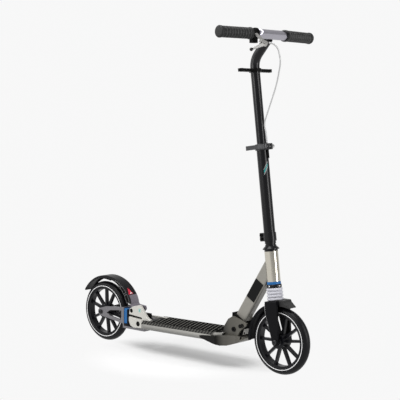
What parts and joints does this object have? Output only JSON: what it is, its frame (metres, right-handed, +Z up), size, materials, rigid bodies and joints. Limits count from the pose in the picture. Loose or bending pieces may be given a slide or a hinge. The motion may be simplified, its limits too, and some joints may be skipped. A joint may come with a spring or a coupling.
{
  "type": "kick scooter",
  "caption": "Folding two-wheel kick scooter with large wheels, foot brake fender, hand brake, front and rear suspension and a telescopic T-handlebar.",
  "frame": {"origin": "on the ground, midway between the two axles and on the scooter's centre plane", "axes": "+X forward, +Y to the rider's left, +Z up"},
  "size_m": [0.9478, 0.4252, 1.0115],
  "materials": {
    "tyre": "black rubber, smooth",
    "rim": "black, semi-gloss",
    "bearing": "sealed bearing steel",
    "axle": "dark plated",
    "deck": "grey lacquered extrusion",
    "grip_mat": "ridged, matt",
    "casting": "warm grey casting",
    "black_plastic": "black, satin",
    "fastener": "black oxide",
    "bright_fastener": "zinc plated",
    "swingarm": "silver grey",
    "elastomer": "blue elastomer",
    "fender": "black, satin",
    "fender_bracket": "grey",
    "brake_pad": "black",
    "reflector": "red reflector",
    "frame": "warm grey lacquer",
    "panel": "black",
    "head_tube": "polished champagne silver",
    "blue_ring": "blue",
    "black_metal": "satin black",
    "bellows": "light grey",
    "spring": "spring steel",
    "silver": "satin silver",
    "grip": "black ribbed",
    "cable": "light grey sleeve",
    "dark_grey": "dark grey"
  },
  "bodies": {
    "deck": {"deck_platform": "deck", "grip_mat": "grip_mat", "deck_tail_block": "black_plastic", "suspension_stop_block": "black_plastic", "rear_plate_left": "casting", "rear_plate_right": "casting", "rear_pivot_pins": "fastener", "front_bracket": "casting", "bracket_fasteners": "fastener", "fold_pivot_pin": "fastener", "nose_shoe": "dark_grey"},
    "front_frame": {"down_tube": "frame", "down_tube_panels": "panel", "fold_knuckle": "frame", "head_tube": "head_tube", "headset_bearings": "bearing", "headset_ring": "blue_ring"},
    "steerer": {"steerer_tube": "black_metal", "lower_collar": "black_metal", "headset_cap": "black_metal", "headset_nut": "black_metal", "stem_clamp": "black_metal", "stem_clamp_bolts": "bright_fastener", "lower_tube": "black_metal", "qr_collar": "dark_grey", "qr_bolt": "bright_fastener", "cable_sleeve": "black_plastic", "bellows": "bellows", "suspension_spring": "spring"},
    "fork": {"fork": "black_metal", "front_axle": "axle", "front_axle_spacers": "bright_fastener", "mudguard_lip": "dark_grey", "rear_guard": "black_plastic"},
    "front_wheel": {"front_tyre": "tyre", "front_rim": "rim", "front_bearings": "bearing"},
    "rear_wheel": {"rear_tyre": "tyre", "rear_rim": "rim", "rear_bearings": "bearing"},
    "swingarm": {"swingarm": "swingarm", "rear_axle": "axle", "rear_axle_spacers": "bright_fastener", "suspension_elastomer": "elastomer"},
    "rear_fender": {"rear_fender": "fender", "fender_bracket": "fender_bracket", "brake_pad": "brake_pad", "fender_reflector": "reflector"},
    "fold_latch": {"fold_latch": "black_plastic"},
    "qr_lever": {"qr_lever": "dark_grey"},
    "upper_stem": {"upper_tube": "black_metal", "handlebar": "silver", "grip_right": "grip", "grip_left": "grip", "grip_holder": "black_plastic", "brake_perch": "black_plastic", "brake_bracket": "silver", "cable_adjuster": "black_plastic", "brake_cable": "cable"},
    "brake_lever": {"brake_lever": "silver"}
  },
  "joints": [
    {"name": "frame_fold", "type": "hinge", "parent": "deck", "child": "front_frame", "pos_m": [0.215, 0, 0.118], "axis": [0, -1, 0], "range_deg": [0, 78]},
    {"name": "fold_latch", "type": "hinge", "parent": "front_frame", "child": "fold_latch", "pos_m": [0.1995, 0, 0.137], "axis": [0, -1, 0], "range_deg": [0, 14], "stiffness_Nm_per_rad": 0.6},
    {"name": "steering", "type": "hinge", "parent": "front_frame", "child": "steerer", "pos_m": [0.33995, 0, 0.29857], "axis": [-0.1193, 0, 0.9929], "range_deg": [-50, 50]},
    {"name": "front_suspension", "type": "slide", "parent": "steerer", "child": "fork", "axis": [-0.1193, 0, 0.9929], "range_m": [0, 0.012], "stiffness_N_per_m": 18000, "springref_m": -0.006, "deforming": ["bellows", "suspension_spring"]},
    {"name": "front_wheel_spin", "type": "hinge", "parent": "fork", "child": "front_wheel", "pos_m": [0.374, 0, 0.1], "axis": [0, 1, 0], "continuous": true},
    {"name": "rear_suspension", "type": "hinge", "parent": "deck", "child": "swingarm", "pos_m": [-0.181, 0, 0.085], "axis": [0, -1, 0], "range_deg": [-2.4, 0], "stiffness_Nm_per_rad": 900, "springref_deg": 1.72, "deforming": ["suspension_elastomer"]},
    {"name": "rear_wheel_spin", "type": "hinge", "parent": "swingarm", "child": "rear_wheel", "pos_m": [-0.374, 0, 0.1], "axis": [0, 1, 0], "continuous": true},
    {"name": "foot_brake", "type": "hinge", "parent": "deck", "child": "rear_fender", "pos_m": [-0.211, 0, 0.125], "axis": [0, -1, 0], "range_deg": [0, 2.5], "stiffness_Nm_per_rad": 30, "springref_deg": -1.15},
    {"name": "stem_height", "type": "slide", "parent": "steerer", "child": "upper_stem", "axis": [-0.1193, 0, 0.9929], "range_m": [-0.18, 0], "deforming": ["brake_cable"]},
    {"name": "qr_lever", "type": "hinge", "parent": "steerer", "child": "qr_lever", "pos_m": [0.323, -0.0215, 0.6702], "axis": [-0.1193, 0, 0.9929], "range_deg": [0, 110]},
    {"name": "brake_lever", "type": "hinge", "parent": "upper_stem", "child": "brake_lever", "pos_m": [0.364, -0.072, 0.964], "axis": [-0.6923, 0.2351, -0.6823], "range_deg": [0, 18], "stiffness_Nm_per_rad": 1.2, "springref_deg": -5.73}
  ]
}
